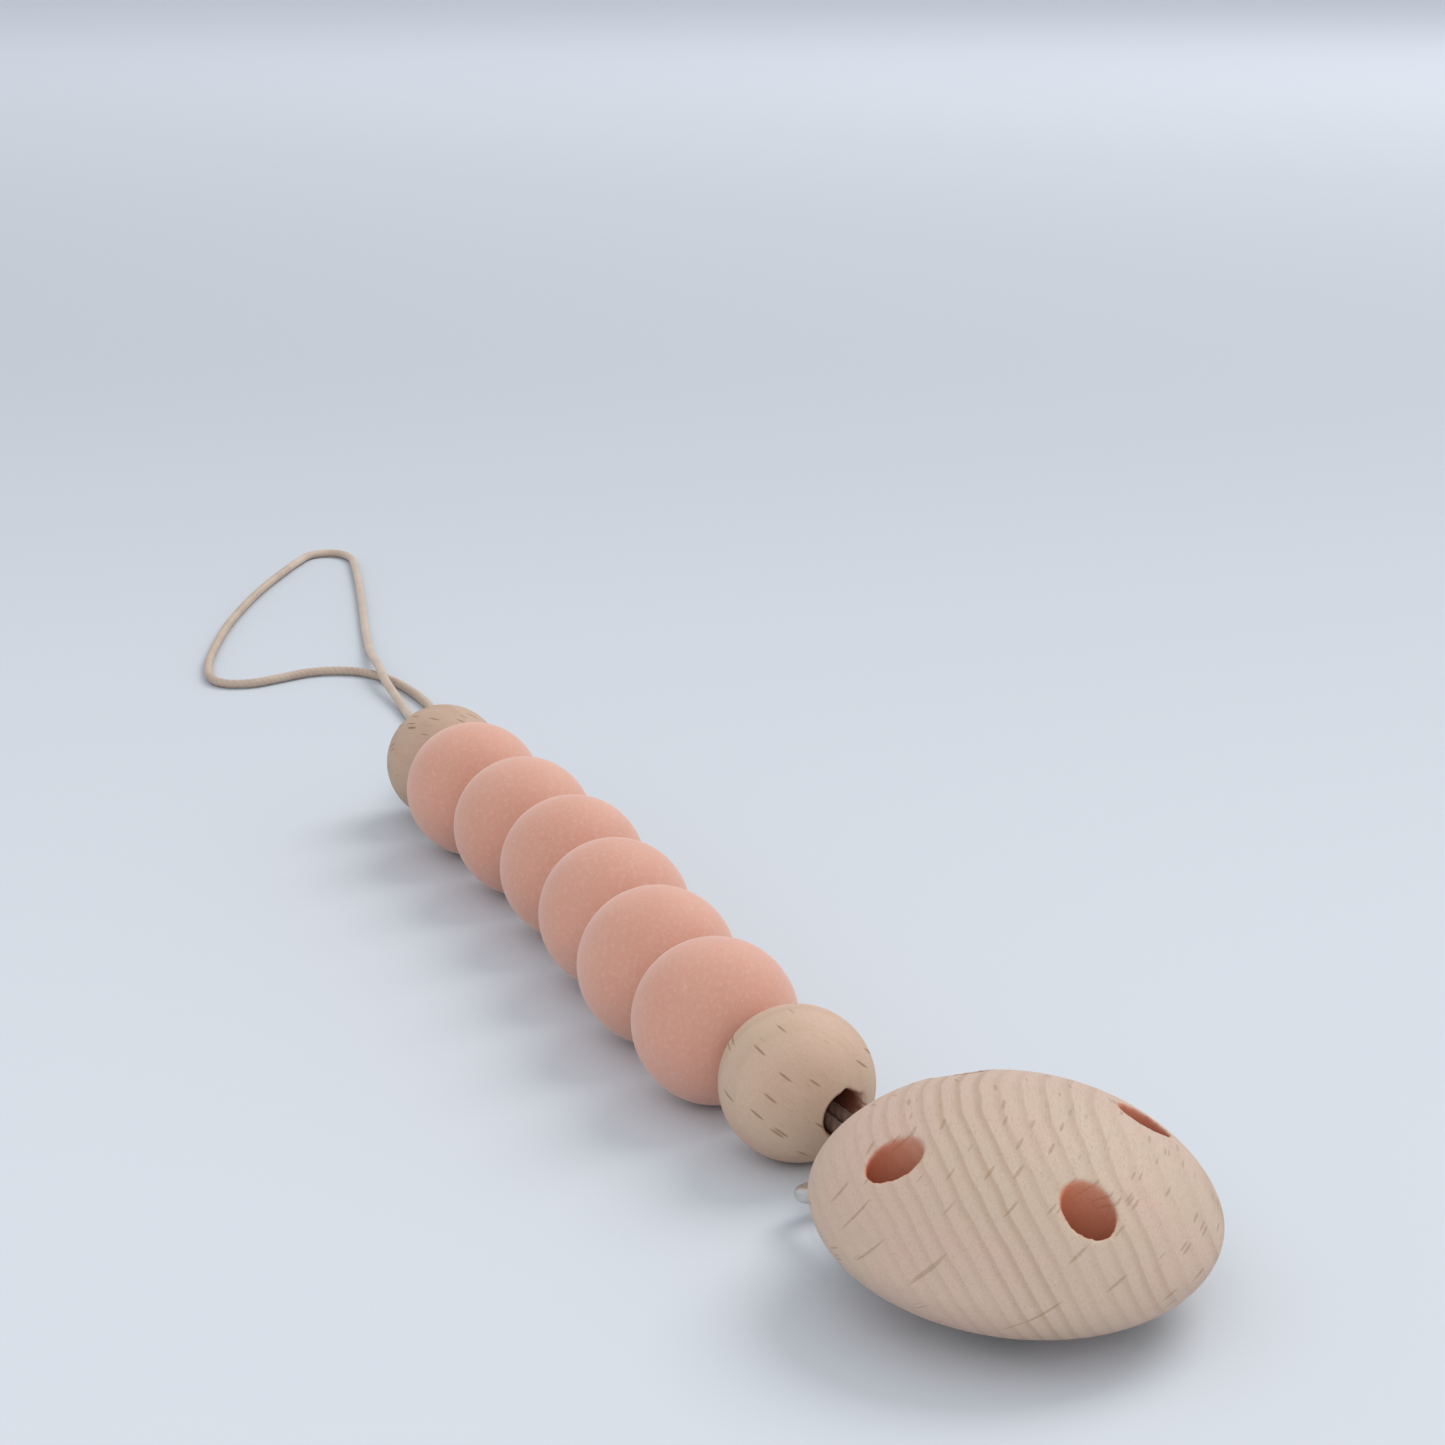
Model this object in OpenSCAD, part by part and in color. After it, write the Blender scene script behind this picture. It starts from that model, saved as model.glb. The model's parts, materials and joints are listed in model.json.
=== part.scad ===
// Pacifier clip: a wooden clip, a string of eight balls and a cord loop.
// Millimetres, +Z up, +X along the string from the clip to the loop. The part lies on Z = 0.

/* [Clip cap] */
// Diameter of the wooden cap
cap_d = 31.2; // [30:0.1:32]
// Height of the dome above the rim
cap_dome = 8.2; // [7:0.1:9]
// Depth of the belly below the rim
cap_belly = 4.85; // [4.6:0.05:5.2]
// Diameter of the flat seat under the cap
seat_d = 15.6; // [13:0.1:18]
// Diameter of a vent hole
vent_d = 4; // [4:0.1:4.8]
// Diameter of the circle that the vent holes stand on
vent_circle = 20.8; // [20:0.1:21.4]
// Depth of the pocket under the cap that takes the steel
pocket = 2.4; // [2:0.1:2.8]

/* [Clip steel] */
// Thickness of the stamped sheet
sheet = 0.8; // [0.6:0.1:0.9]
// Width of the base plate over its ears
plate_w = 12; // [11:0.5:13]
// Diameter of the hinge pin
pin_d = 1.6; // [1.4:0.1:1.8]
// Height of the hinge pin above the surface that the clip lies on
pin_rise = 1.9; // [1.9:0.05:2.1]
// Length of the lever from its pin to its tail
lever_l = 12; // [11:0.5:12.5]
// Diameter of the bail's wire
wire_d = 1.4; // [1.2:0.1:1.5]
// Width of the bail between the middles of its side wires
bail_w = 16.4; // [14:0.2:17]

/* [Balls and cord] */
// Diameter of a silicone ball
silicone_d = 14.75; // [14.5:0.05:15]
// Bore of a silicone ball
silicone_bore = 3; // [2.8:0.1:3.4]
// Diameter of a wooden ball
wood_d = 13.2; // [12.8:0.05:13.6]
// Bore of a wooden ball
wood_bore = 4; // [3.6:0.1:4.4]
// Gap between neighbouring balls
ball_gap = 0.25; // [0.2:0.05:0.4]
// Diameter of the waxed cord
cord_d = 1.2; // [1:0.1:1.3]

/* [Pose at rest] */
// Height of the cap's rim at its middle
clip_lift = 7.5; // [7.4:0.05:7.7]
// How far the clip leans down towards its jaw, in degrees
clip_lean = 6.9; // [6:0.1:7]
// How far the cap's middle stands before the origin
clip_back = 61.6; // [61:0.1:62]
// How far the clip is turned towards the string, in degrees
clip_turn = 6.5; // [4:0.5:8]

/* [Hidden] */
$fn = 64;

beech = [0.82, 0.72, 0.63];
peach = [0.84, 0.62, 0.53];
beige = [0.72, 0.64, 0.56];
steel = [0.78, 0.79, 0.8];
nylon = [0.93, 0.92, 0.88];

// The clip's own frame has its origin at the middle of the cap's rim and its +X towards the string.
plate_top = pocket - cap_belly;
plate_under = plate_top - sheet;
pin_x = -3;
pin_z = (pin_rise - clip_lift - pin_x * sin(clip_lean)) / cos(clip_lean);
ear_r = 1.6;
ear_play = 0.2;
lever_w = plate_w - 2 * sheet - 2 * ear_play;
bearing_play = 0.05;
pad_gap = 0.3;
pad_top = plate_under - pin_z - pad_gap;
pad_l = 3.2;
rivet_d = 2.4;
rivet_x = 4.4;
curl_r = wire_d / 2 + 0.1 + 0.75;
curl_x = 11.4;
curl_z = plate_top - curl_r;
curl_w = 8;
nose = 7.8;

// The bail hangs from the curl to the bar that carries the cord, in the part's own frame.
bail_hinge = in_clip([curl_x, 0, curl_z]);
bar_out = 19;
bail_bar = [bar_out * cos(clip_turn) - clip_back, bar_out * sin(clip_turn), 2.25];
bail_l = norm(bail_bar - bail_hinge);
bail_drop = asin((bail_hinge[2] - bail_bar[2]) / bail_l);
bail_corner = 2;

// The string: a heading for each ball, in degrees from +X, and the middle of the first ball.
heading = [15, 0, -2, -8, 1, 1, 5, -13];
last = len(heading) - 1;
near_middle = [-32.3, 5.15, wood_d / 2];
reach_wood = (wood_d + ball_gap) / 2;
slope_wood = asin((silicone_d - wood_d) / 2 / reach_wood);
strand_y = cord_d / 2 + 0.02;
joint_room = 0.7;

// Half a ball and half a gap, from a ball's middle to the point where its neighbour bends.
function reach(i) = i == 0 || i == last ? reach_wood : (silicone_d + ball_gap) / 2;
function slope(i) = i == 0 ? slope_wood : i == last ? -slope_wood : 0;
function along(i) = [
    cos(slope(i)) * cos(heading[i]), cos(slope(i)) * sin(heading[i]), sin(slope(i))
];
function middle(i) = i == 0 ? near_middle
    : middle(i - 1) + reach(i - 1) * along(i - 1) + reach(i) * along(i);
function in_clip(p) = let (out = p[0] * cos(clip_lean) - p[2] * sin(clip_lean)) [
    out * cos(clip_turn) - p[1] * sin(clip_turn) - clip_back,
    out * sin(clip_turn) + p[1] * cos(clip_turn),
    p[0] * sin(clip_lean) + p[2] * cos(clip_lean) + clip_lift
];

// The loop's route, from the far ball's bore, round on the table and back into the bore.
loop_route = [
    [75, 2.9, 6.05], [79, 2, 5.5], [84, 0.5, 4.1], [90, -1.6, 2.3], [96, -3.6, 1],
    [103, -5.4, 0.65], [112, -6.6, 0.65], [121, -6.9, 0.65], [130, -6, 0.65], [136, -3.5, 0.65],
    [138.4, -0.1, 0.65], [138.6, 3.7, 0.65], [137.2, 7.7, 0.65], [136, 11.7, 0.65],
    [137.2, 15.1, 0.65], [141, 16.3, 0.65], [149, 14.8, 0.65], [159, 11.5, 0.65], [169, 7.7, 0.65],
    [180, 2.8, 0.65], [191, -2.7, 0.65], [200, -7.8, 0.65], [207.6, -12.4, 0.65],
    [212, -15.8, 0.65], [211.9, -19.5, 0.65], [207.4, -21, 0.65], [197.5, -19.2, 0.65],
    [185, -16.4, 0.65], [172, -13.3, 0.65], [160, -10.4, 0.65], [149.5, -8, 0.8], [141, -6.3, 1.4],
    [134, -5.1, 1.95], [127, -4.2, 1.5], [117, -3.5, 0.8], [107, -2.5, 0.65], [98, -1, 0.95],
    [92, 0.2, 2], [86, 1.6, 3.7], [80.5, 2.9, 5.3], [75.2, 4.1, 6.05]
];

// A rod with round ends between two points
module rod(a, b, d) {
    dir = b - a;
    yaw = atan2(dir[1], dir[0]);
    rise = atan2(dir[2], norm([dir[0], dir[1]]));
    translate(a) rotate([0, 90 - rise, yaw]) cylinder(d = d, h = norm(dir));
    translate(a) sphere(d = d);
    translate(b) sphere(d = d);
}

// Places its children in the clip's own frame
module on_clip() {
    translate([-clip_back, 0, clip_lift]) rotate([0, -clip_lean, clip_turn]) children();
}

// Stands an outline drawn in x and z on edge, w wide and centred on the clip's middle
module across(w) {
    rotate([90, 0, 0]) linear_extrude(w, center = true) children();
}

// Places its children at a ball's middle, with +X along its bore
module at_ball(i) {
    translate(middle(i)) rotate([0, -slope(i), heading[i]]) children();
}

// A ball turned about its bore, whose mouths are eased
module ball(d, bore) {
    ease = 0.5;
    mouth = sqrt(d * d - bore * bore) / 2;
    rotate([0, 90, 0]) rotate_extrude($fn = 96) difference() {
        circle(d = d);
        translate([-d, -d]) square([d + bore / 2, 2 * d]);
        for (end = [-1, 1])
            polygon([
                [0, end * (mouth - ease)], [bore / 2, end * (mouth - ease)],
                [bore / 2 + 2 * ease, end * (mouth + ease)], [0, end * (mouth + ease)]
            ]);
    }
}

// The two strands of the cord from x = a to x = b, side by side in a bore
module strands(a, b) {
    for (side = [-1, 1])
        rod([a, side * strand_y, 0], [b, side * strand_y, 0], cord_d);
}

// The lens of the cap: a pointed dome over a fuller belly with a flat seat
function cap_outline(steps = 18) = concat(
    [for (i = [0:steps]) let (r = cap_d / 2 * sin(i * 90 / steps))
        [r, cap_dome * pow(1 - pow(2 * r / cap_d, 2), 1 / 1.5)]],
    [for (i = [1:steps]) let (a = i * 90 / steps)
        [seat_d / 2 + (cap_d - seat_d) / 2 * cos(a), -cap_belly * sin(a)]],
    [[0, -cap_belly]]
);

// A pocket under the cap, cut from x = start backwards
module pocket_cut(start, end, w) {
    translate([start, -w / 2, -cap_belly - 1]) cube([end - start, w, pocket + 1]);
}

// The jaw's cloth goes in through a shallow channel at the front, and the bail has room behind.
module wood_cap() {
    rivet_depth = 4;
    side_room = 0.9;
    bail_room = 2.4;
    channel = 1.5;
    color(beech) on_clip() difference() {
        rotate_extrude() polygon(cap_outline());
        for (turn = [0:90:270])
            rotate(turn - clip_turn) translate([vent_circle / 2, 0, 0])
                cylinder(d = vent_d, h = 40, center = true);
        pocket_cut(-nose - 0.3, cap_d, plate_w + 2 * side_room);
        pocket_cut(curl_x - curl_r - 0.3, cap_d, bail_w + bail_room);
        translate([-cap_d, -plate_w / 2, -cap_belly - 1]) cube([cap_d, plate_w, channel + 1]);
        translate([rivet_x, 0, plate_top - 1]) cylinder(d = rivet_d, h = rivet_depth + 1);
    }
}

module ear_outline() {
    translate([pin_x, pin_z]) circle(r = ear_r);
    translate([pin_x - ear_r, pin_z]) square([2 * ear_r, plate_top - pin_z]);
}

module base_plate() {
    corner = 1.5;
    plate_vent = [8.3, 2.6];
    color(steel) on_clip() difference() {
        union() {
            translate([0, 0, plate_under]) linear_extrude(sheet) offset(corner) offset(-corner)
                translate([-nose, -plate_w / 2]) square([nose + curl_x - curl_r, plate_w]);
            translate([curl_x - curl_r - 1, -curl_w / 2, plate_under])
                cube([curl_r + 1, curl_w, sheet]);
            translate([curl_x, 0, curl_z]) across(curl_w) circle(r = curl_r);
            for (side = [-1, 1])
                translate([0, side * (plate_w - sheet) / 2, 0]) across(sheet) ear_outline();
        }
        translate([curl_x, 0, curl_z]) across(curl_w + 1) circle(d = wire_d + 0.2);
        translate([curl_x - curl_r, -curl_w / 2 - 1, curl_z - 0.6])
            cube([curl_r - wire_d / 2, curl_w + 2, 0.9]);
        translate([pin_x, 0, pin_z]) across(plate_w + 1) circle(d = pin_d);
        for (hole = [[rivet_x, rivet_d], plate_vent])
            translate([hole[0], 0, 0]) cylinder(d = hole[1], h = 40, center = true);
    }
}

module cap_rivet() {
    shank = 3.8;
    color(steel) on_clip() translate([rivet_x, 0, plate_under]) {
        cylinder(d = rivet_d, h = sheet + shank);
        translate([0, 0, -0.5]) cylinder(d = 4.4, h = 0.5);
        translate([0, 0, -0.9]) cylinder(d1 = 3.2, d2 = 4.4, h = 0.4);
    }
}

module hinge_pin() {
    head = 0.5;
    color(steel) on_clip() translate([pin_x, 0, pin_z]) {
        across(plate_w) circle(d = pin_d);
        for (side = [-1, 1])
            translate([0, side * (plate_w + head) / 2, 0]) across(head) circle(d = pin_d + 0.9);
    }
}

// The pin's place in the part's own frame; the lever lies level on the table from there.
module at_pin() {
    translate(in_clip([pin_x, 0, pin_z])) rotate(clip_turn) children();
}

module lever_side() {
    boss = 1.6;
    circle(r = boss);
    polygon([
        [-boss, 0], [-boss, -1.3], [-1, -pin_rise], [lever_l - 5, -pin_rise],
        [lever_l - 5, -1], [4, 0.5], [0.6, boss - 0.1], [0, 0]
    ]);
}

module lever() {
    tail_r = lever_w / 2;
    color(steel) at_pin() difference() {
        union() {
            for (side = [-1, 1])
                translate([0, side * (lever_w - sheet) / 2, 0]) across(sheet) lever_side();
            translate([-1, 0, -pin_rise]) linear_extrude(sheet) {
                translate([0, -tail_r]) square([lever_l - tail_r + 1, lever_w]);
                translate([lever_l - tail_r + 1, 0]) circle(r = tail_r);
            }
        }
        across(lever_w + 1) circle(d = pin_d + 2 * bearing_play);
        translate([lever_l - 3.5, 0, -pin_rise - 1]) cylinder(d = 3, h = 3);
    }
}

// A nylon cam that fills the lever and presses the cloth against the plate
module gripper_pad() {
    pad_w = lever_w - 2 * sheet;
    hub = 1.35;
    tooth = 0.45;
    color(nylon) at_pin() difference() {
        across(pad_w) intersection() {
            rotate(clip_lean) polygon(concat(
                [[pad_l, pad_top], [0.1, pad_top], [-0.3, pad_top - 0.3]],
                [for (turn = [120:15:240]) hub * [cos(turn), sin(turn)]],
                [[-0.7, -3], [pad_l, -3]]
            ));
            translate([-3, sheet - pin_rise]) square([12, 8]);
        }
        across(pad_w + 1) circle(d = pin_d + 2 * bearing_play);
        rotate([0, -clip_lean, 0])
            for (x = [0.7:0.8:pad_l - 0.4])
                translate([x, 0, pad_top])
                    rotate([0, 45, 0]) cube([tooth, pad_w + 1, tooth], center = true);
    }
}

// Wire round a rectangle, lying in x and y with its hinge bar at the origin
module bail_wire() {
    side_y = bail_w / 2;
    c = bail_corner;
    for (x = [0, bail_l])
        translate([x, 0, 0]) rotate([90, 0, 0])
            cylinder(d = wire_d, h = bail_w - 2 * c, center = true);
    for (side = [-1, 1])
        translate([c, side * side_y, 0]) rotate([0, 90, 0])
            cylinder(d = wire_d, h = bail_l - 2 * c);
    for (corner = [[bail_l - c, 1, 0], [c, 1, 90], [c, -1, 180], [bail_l - c, -1, 270]])
        translate([corner[0], corner[1] * (side_y - c), 0]) rotate(corner[2])
            rotate_extrude(angle = 90) translate([c, 0]) circle(d = wire_d, $fn = 32);
}

module bail() {
    color(steel) translate(bail_hinge) rotate([0, bail_drop, clip_turn]) bail_wire();
}

// The cord's end: two turns round the bail's bar and a band over them
hitch_swing = 18;
hitch_r = ((wire_d + cord_d) / 2 + strand_y * sin(hitch_swing)) / cos(hitch_swing) + 0.02;

module cord_hitch() {
    color(beige) translate(bail_bar) rotate(clip_turn)
        for (side = [-1, 1])
            translate([0, side * strand_y, 0]) rotate([90, 0, 0])
                rotate_extrude() translate([hitch_r, 0]) circle(d = cord_d, $fn = 32);
}

module cord_knot() {
    color(beige) at_ball(0) rotate([0, 90, 0]) rotate_extrude()
        polygon([[0, -2.4], [1.1, -2.2], [1.7, -1.2], [1.7, 1.2], [1.1, 2.2], [0, 2.4]]);
}

// From the hitch up into the near ball's bore, and past the knot on to the first silicone ball
module cord_in_near_ball() {
    knot_room = 2.5;
    ahead = along(0);
    aside = [-sin(heading[0]), cos(heading[0]), 0];
    bar_top = bail_bar + [0.2, 0, hitch_r + 0.02];
    color(beige) for (side = [-1, 1]) {
        shift = side * strand_y * aside;
        tube(smoothed([
            bar_top + [0, side * strand_y, 0],
            bar_top + [2, 0.5 + side * strand_y, 0.8],
            near_middle - 7 * ahead + shift,
            near_middle - 5 * ahead + shift,
            near_middle - knot_room * ahead + shift
        ], 2), cord_d);
        tube([
            near_middle + knot_room * ahead + shift,
            near_middle + (reach(0) - joint_room) * ahead + shift
        ], cord_d);
    }
}

module near_wood_ball() {
    color(beech) at_ball(0) ball(wood_d, wood_bore);
}

module silicone_ball(i) {
    color(peach) at_ball(i) ball(silicone_d, silicone_bore);
}

module far_wood_ball() {
    color(beech) at_ball(last) ball(wood_d, wood_bore);
}

module cord_in_silicone(i) {
    end = reach(i) - joint_room - cord_d / 2;
    color(beige) at_ball(i) strands(-end, end);
}

module cord_in_far_ball() {
    loop_start = 4.8;
    color(beige) at_ball(last) difference() {
        strands(-reach(last) + joint_room + cord_d / 2, loop_start + 1);
        translate([loop_start, -2, -2]) cube(4);
    }
}

// The free loop: one tube swept through its route
function between(a, b, c, d, t) = 0.5 * (
    2 * b + (c - a) * t + (2 * a - 5 * b + 4 * c - d) * t * t
    + (3 * b - a - 3 * c + d) * t * t * t
);
function clamped(list, i) = list[max(0, min(len(list) - 1, i))];
function smoothed(list, n) = [
    for (i = [0:len(list) - 2], j = [0:n - 1])
        between(clamped(list, i - 1), list[i], list[i + 1], clamped(list, i + 2), j / n),
    list[len(list) - 1]
];
function unit(v) = v / norm(v);
function ring(line, i, r, sides) = let (
    ahead = unit(clamped(line, i + 1) - clamped(line, i - 1)),
    side = unit(cross(ahead, [0, 0, 1])),
    top = cross(side, ahead)
) [for (k = [0:sides - 1]) line[i] + r * (cos(k * 360 / sides) * side + sin(k * 360 / sides) * top)];

module tube(line, d, sides = 8) {
    rings = len(line);
    points = [for (i = [0:rings - 1]) each ring(line, i, d / 2, sides)];
    walls = [
        for (i = [0:rings - 2], k = [0:sides - 1]) let (n = (k + 1) % sides)
            [i * sides + k, i * sides + n, (i + 1) * sides + n, (i + 1) * sides + k]
    ];
    near_end = [for (k = [sides - 1:-1:0]) k];
    far_end = [for (k = [0:sides - 1]) (rings - 1) * sides + k];
    polyhedron(points, concat(walls, [near_end, far_end]), convexity = 8);
}

module cord_loop() {
    color(beige) tube(smoothed(loop_route, 2), cord_d);
}

wood_cap();
base_plate();
cap_rivet();
hinge_pin();
lever();
gripper_pad();
bail();
cord_hitch();
cord_knot();
cord_in_near_ball();
near_wood_ball();
silicone_ball(1);  // silicone_ball_1
silicone_ball(2);  // silicone_ball_2
silicone_ball(3);  // silicone_ball_3
silicone_ball(4);  // silicone_ball_4
silicone_ball(5);  // silicone_ball_5
silicone_ball(6);  // silicone_ball_6
far_wood_ball();
cord_in_silicone(1);  // cord_in_silicone_1
cord_in_silicone(2);  // cord_in_silicone_2
cord_in_silicone(3);  // cord_in_silicone_3
cord_in_silicone(4);  // cord_in_silicone_4
cord_in_silicone(5);  // cord_in_silicone_5
cord_in_silicone(6);  // cord_in_silicone_6
cord_in_far_ball();
cord_loop();
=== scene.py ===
# %% [markdown]
# # A pacifier clip in wood, silicone and cord
#
# A baby's pacifier clip lies on a table: a lens-shaped beech clip, a wooden ball, six silicone
# balls, another wooden ball and a thin waxed loop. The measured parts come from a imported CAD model,
# which is loaded as a fixed frame. Every new piece is made in metres around that frame, so nothing
# has to be fitted afterwards.

# %% The frame
import json
import math

import bmesh
import bpy
from mathutils import Euler, Matrix, Vector


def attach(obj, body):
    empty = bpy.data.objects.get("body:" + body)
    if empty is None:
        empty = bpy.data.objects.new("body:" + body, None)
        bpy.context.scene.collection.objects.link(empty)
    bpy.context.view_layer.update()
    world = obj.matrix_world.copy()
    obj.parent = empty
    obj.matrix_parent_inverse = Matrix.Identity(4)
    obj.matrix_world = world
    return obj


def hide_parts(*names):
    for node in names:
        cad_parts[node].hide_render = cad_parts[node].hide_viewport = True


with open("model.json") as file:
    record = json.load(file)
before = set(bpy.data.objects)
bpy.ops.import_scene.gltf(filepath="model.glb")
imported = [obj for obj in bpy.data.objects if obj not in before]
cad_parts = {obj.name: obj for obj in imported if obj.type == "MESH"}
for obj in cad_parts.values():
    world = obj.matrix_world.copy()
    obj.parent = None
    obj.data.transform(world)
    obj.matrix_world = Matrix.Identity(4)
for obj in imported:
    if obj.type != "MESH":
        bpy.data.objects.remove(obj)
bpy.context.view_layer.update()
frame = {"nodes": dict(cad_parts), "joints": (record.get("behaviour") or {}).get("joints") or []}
MM = 0.001
joints = {joint["name"]: joint for joint in frame["joints"]}

# %% [markdown]
# ## The camera
#
# The camera comes first, because the free cord is judged by what the camera sees. It stands low in
# front of the clip and to the left of the string, and looks along the string a little downwards, so
# that the clip is large and the loop is far away. A lens of about 74 mm on a 36 mm sensor shows the
# balls overlapping without making the far ones look tiny.

# %% The camera
lens_data = bpy.data.cameras.new("low_camera")
lens_data.lens = 73.5
lens_data.sensor_width = 36
lens_data.clip_start = 0.01
camera = bpy.data.objects.new("low_camera", lens_data)
view_turn = math.radians(-22)
view_drop = math.radians(15.5)
camera.location = (-242.1 * MM, 96.6 * MM, 101.2 * MM)
camera.rotation_euler = (math.pi / 2 - view_drop, 0, view_turn - math.pi / 2)
bpy.context.scene.collection.objects.link(camera)
bpy.context.scene.camera = camera
print("camera", [round(x / MM) for x in camera.location], "mm")

# %% [markdown]
# ## Small tools
#
# Blender's operators work on whatever is selected, and loading the frame leaves its parts selected.
# These helpers clear the selection, open a mesh in edit mode and close it again, and apply a
# modifier at once, so that each later cell reads like the steps that a person would take by hand.


# %% Selecting, editing and applying
def pick(piece):
    """Selects one piece alone and makes it active."""
    bpy.ops.object.select_all(action="DESELECT")
    piece.select_set(True)
    bpy.context.view_layer.objects.active = piece


class editing:
    """Opens a piece in edit mode, and leaves edit mode at the end of the with block."""

    def __init__(self, piece, mode="VERT"):
        self.piece, self.mode = piece, mode

    def __enter__(self):
        pick(self.piece)
        bpy.ops.object.mode_set(mode="EDIT")
        bpy.ops.mesh.select_mode(type=self.mode)
        return bmesh.from_edit_mesh(self.piece.data)

    def __exit__(self, *error):
        bpy.ops.object.mode_set(mode="OBJECT")


def choose(mesh, kind, test):
    """Selects the vertices, edges or faces that pass a test, and returns how many they are."""
    bpy.ops.mesh.select_all(action="DESELECT")
    chosen = [part for part in getattr(mesh, kind) if test(part)]
    for part in chosen:
        part.select = True
    mesh.select_flush_mode()
    return len(chosen)


def finish_with(piece, kind, **settings):
    """Adds a modifier with these settings and applies it."""
    pick(piece)
    modifier = piece.modifiers.new(kind.lower(), kind)
    for key, value in settings.items():
        setattr(modifier, key, value)
    bpy.ops.object.modifier_apply(modifier=modifier.name)


def close_seams(piece):
    """Joins doubled points and turns every face outwards."""
    with editing(piece):
        bpy.ops.mesh.select_all(action="SELECT")
        bpy.ops.mesh.remove_doubles(threshold=0.002 * MM)
        bpy.ops.mesh.normals_make_consistent(inside=False)


def smooth(piece, angle):
    """Shades smooth, but keeps edges sharper than an angle in degrees."""
    pick(piece)
    bpy.ops.object.shade_smooth_by_angle(angle=math.radians(angle))


def report(piece):
    """Prints a piece's faces and its size."""
    size = [round(x / MM, 2) for x in piece.dimensions]
    print(piece.name, "faces", len(piece.data.polygons), "size", size, "mm")


# %% [markdown]
# ## Places taken from the joints
#
# The CAD record says where each ball's bore runs: a ball spins about its bore, so the spin joint's
# point is the ball's middle and its axis is the bore. The bail's hinge and the swing of the string
# give the bail's two bars in the same way. Nothing is measured twice.


# %% Middles, bores and the bail
def ball_place(joint_name):
    """A ball's middle and its bore's direction."""
    joint = joints[joint_name]
    return Vector(joint["pos_m"]), Vector(joint["axis"]).normalized()


def turned_to(middle, bore):
    """The matrix that takes a ball modelled at the origin, with its bore on X, to its place."""
    yaw = math.atan2(bore.y, bore.x)
    pitch = -math.asin(bore.z)
    return Matrix.Translation(middle) @ Euler((0, pitch, yaw)).to_matrix().to_4x4()


near_place = turned_to(*ball_place("near_ball_spin"))
far_place = turned_to(*ball_place("far_ball_spin"))
silicone_places = [turned_to(*ball_place(f"ball_{i}_spin")) for i in range(1, 7)]
bail_hinge = Vector(joints["bail_swing"]["pos_m"])
bail_bar = Vector(joints["string_swing"]["pos_m"])
print("near ball at", [round(x / MM, 1) for x in near_place.translation])

# %% [markdown]
# ## The free loop and the other cords
#
# The loop is waxed cotton, 1.2 mm thick, laid up from three plies. It comes straight out of the far
# ball's bore, drops to the table, crosses itself in a long low hump and goes back into the same
# bore. A plain tube would do for a distant view, but the twist shows on a thin cord, so a
# three-lobed section is swept along the route and turned as it goes. The curve is then made a mesh,
# because a mesh can carry a worn surface.


# %% A laid cord along a route
def through(points, step):
    """Points about step apart on a smooth line through a listed route."""
    route = [Vector(point) * MM for point in points]
    ends = [2 * route[0] - route[1], *route, 2 * route[-1] - route[-2]]
    line = []
    for a, b, c, d in zip(ends, ends[1:], ends[2:], ends[3:]):
        count = max(1, round((c - b).length / (step * MM)))
        for i in range(count):
            t = i / count
            bend = 2 * a - 5 * b + 4 * c - d
            line.append(0.5 * (2 * b + (c - a) * t + bend * t * t + (3 * b - a - 3 * c + d) * t**3))
    return [*line, route[-1]]


def line_length(line):
    """The length of a line of points."""
    return sum((b - a).length for a, b in zip(line, line[1:]))


def laid_section(diameter, plies=3, groove=0.09, count=18):
    """A closed curve with one lobe for each ply, as a section for sweeping."""
    data = bpy.data.curves.new("ply_section", "CURVE")
    spline = data.splines.new("POLY")
    spline.points.add(count - 1)
    spline.use_cyclic_u = True
    for i, point in enumerate(spline.points):
        angle = i / count * math.tau
        radius = diameter / 2 * (1 - groove * (0.5 - 0.5 * math.cos(plies * angle)))
        point.co = (radius * math.cos(angle), radius * math.sin(angle), 0, 1)
    section = bpy.data.objects.new("ply_section", data)
    bpy.context.scene.collection.objects.link(section)
    return section


def laid_cord(name, line, diameter, lay=2.6 * MM):
    """Sweeps the section along a line, with one full turn of the plies in each lay length."""
    data = bpy.data.curves.new(name, "CURVE")
    data.dimensions = "3D"
    data.twist_mode = "MINIMUM"
    spline = data.splines.new("POLY")
    spline.points.add(len(line) - 1)
    travelled = 0.0
    for i, (point, place) in enumerate(zip(spline.points, line)):
        travelled += (place - line[i - 1]).length if i else 0.0
        point.co = (*place, 1)
        point.tilt = travelled / lay * math.tau
    section = laid_section(diameter)
    data.bevel_mode = "OBJECT"
    data.bevel_object = section
    data.use_fill_caps = True
    cord = bpy.data.objects.new(name, data)
    bpy.context.scene.collection.objects.link(cord)
    pick(cord)
    bpy.ops.object.convert(target="MESH")
    bpy.data.objects.remove(section)
    close_seams(cord)
    pick(cord)
    bpy.ops.object.shade_smooth()
    return cord


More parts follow.
